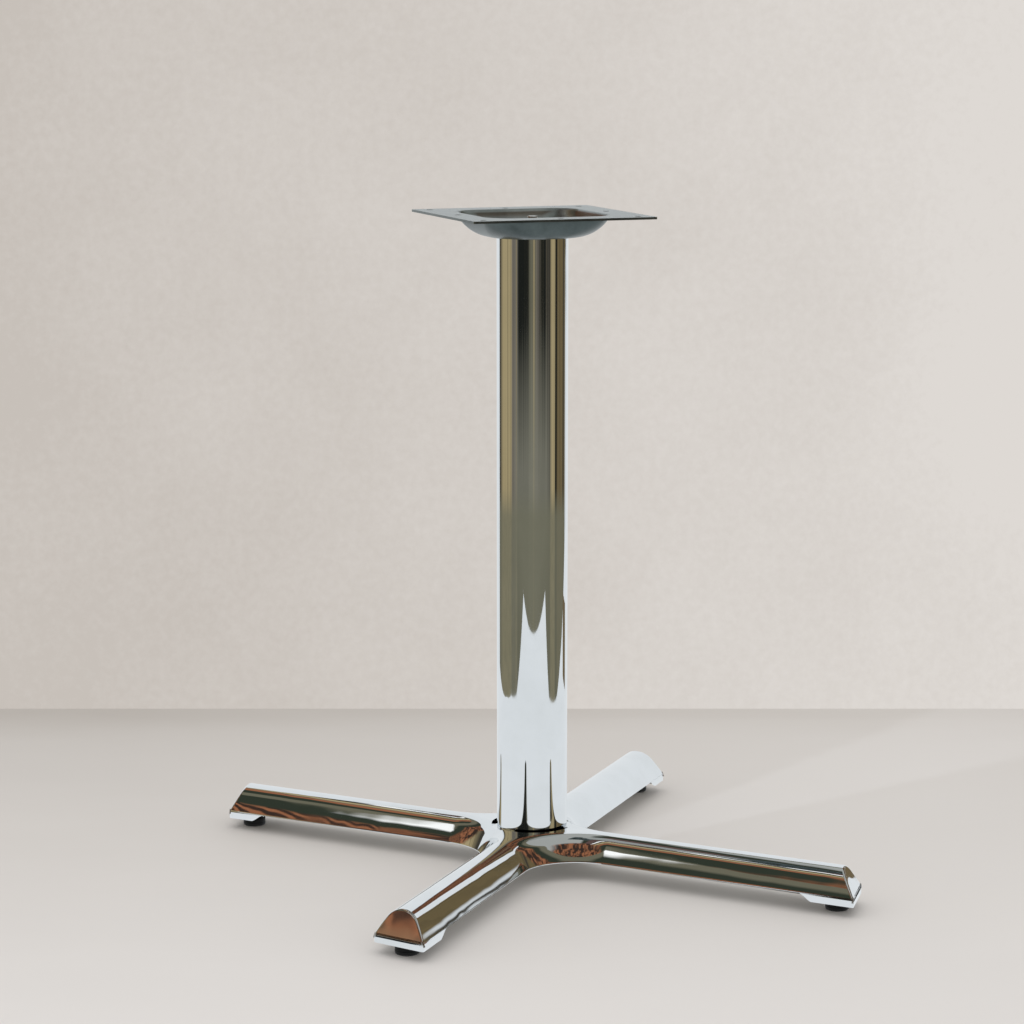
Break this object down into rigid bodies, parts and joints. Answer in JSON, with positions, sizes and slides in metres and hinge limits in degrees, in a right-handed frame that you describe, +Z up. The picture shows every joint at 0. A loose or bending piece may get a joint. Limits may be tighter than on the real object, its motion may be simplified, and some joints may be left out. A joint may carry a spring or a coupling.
{
  "type": "pedestal table base",
  "caption": "Pedestal table base: a pressed cross foot on levelling glides, a round column and a square dished plate that a table top is screwed to.",
  "frame": {"origin": "on the floor under the column's axis, at the centre of the footprint", "axes": "+Z up along the column, +X along the longer side of the footprint, +Y along the shorter side"},
  "size_m": [0.6386, 0.5348, 0.711],
  "materials": {
    "bright_chrome": "mirror bright plating",
    "satin_plate": "dull grey plated sheet, satin",
    "pad_plastic": "black moulded, matte",
    "stud_zinc": "zinc plated thread",
    "bare_steel": "dull rolled steel",
    "fastener_zinc": "zinc plated"
  },
  "bodies": {
    "base": {"bottom_nut": "fastener_zinc", "bottom_spring_washer": "fastener_zinc", "bottom_washer": "fastener_zinc", "column_tube": "bright_chrome", "cross_foot": "bright_chrome", "glide_bracket_back_left": "bare_steel", "glide_bracket_back_right": "bare_steel", "glide_bracket_front_left": "bare_steel", "glide_bracket_front_right": "bare_steel", "glide_nut_back_left": "stud_zinc", "glide_nut_back_right": "stud_zinc", "glide_nut_front_left": "stud_zinc", "glide_nut_front_right": "stud_zinc", "hub_plate": "bare_steel", "lower_locator": "bare_steel", "tie_rod": "fastener_zinc", "top_nut": "fastener_zinc", "top_plate": "satin_plate", "top_spring_washer": "fastener_zinc", "top_washer": "fastener_zinc", "upper_locator": "bare_steel"},
    "glide_back_right": {"glide_pad_back_right": "pad_plastic", "glide_stud_back_right": "stud_zinc"},
    "glide_front_right": {"glide_pad_front_right": "pad_plastic", "glide_stud_front_right": "stud_zinc"},
    "glide_back_left": {"glide_pad_back_left": "pad_plastic", "glide_stud_back_left": "stud_zinc"},
    "glide_front_left": {"glide_pad_front_left": "pad_plastic", "glide_stud_front_left": "stud_zinc"}
  },
  "joints": [
    {"name": "glide_back_right_height", "type": "slide", "parent": "base", "child": "glide_back_right", "axis": [0, 0, -1], "range_m": [0, 0.01]},
    {"name": "glide_front_right_height", "type": "slide", "parent": "base", "child": "glide_front_right", "axis": [0, 0, -1], "range_m": [0, 0.01]},
    {"name": "glide_back_left_height", "type": "slide", "parent": "base", "child": "glide_back_left", "axis": [0, 0, -1], "range_m": [0, 0.01]},
    {"name": "glide_front_left_height", "type": "slide", "parent": "base", "child": "glide_front_left", "axis": [0, 0, -1], "range_m": [0, 0.01]}
  ]
}
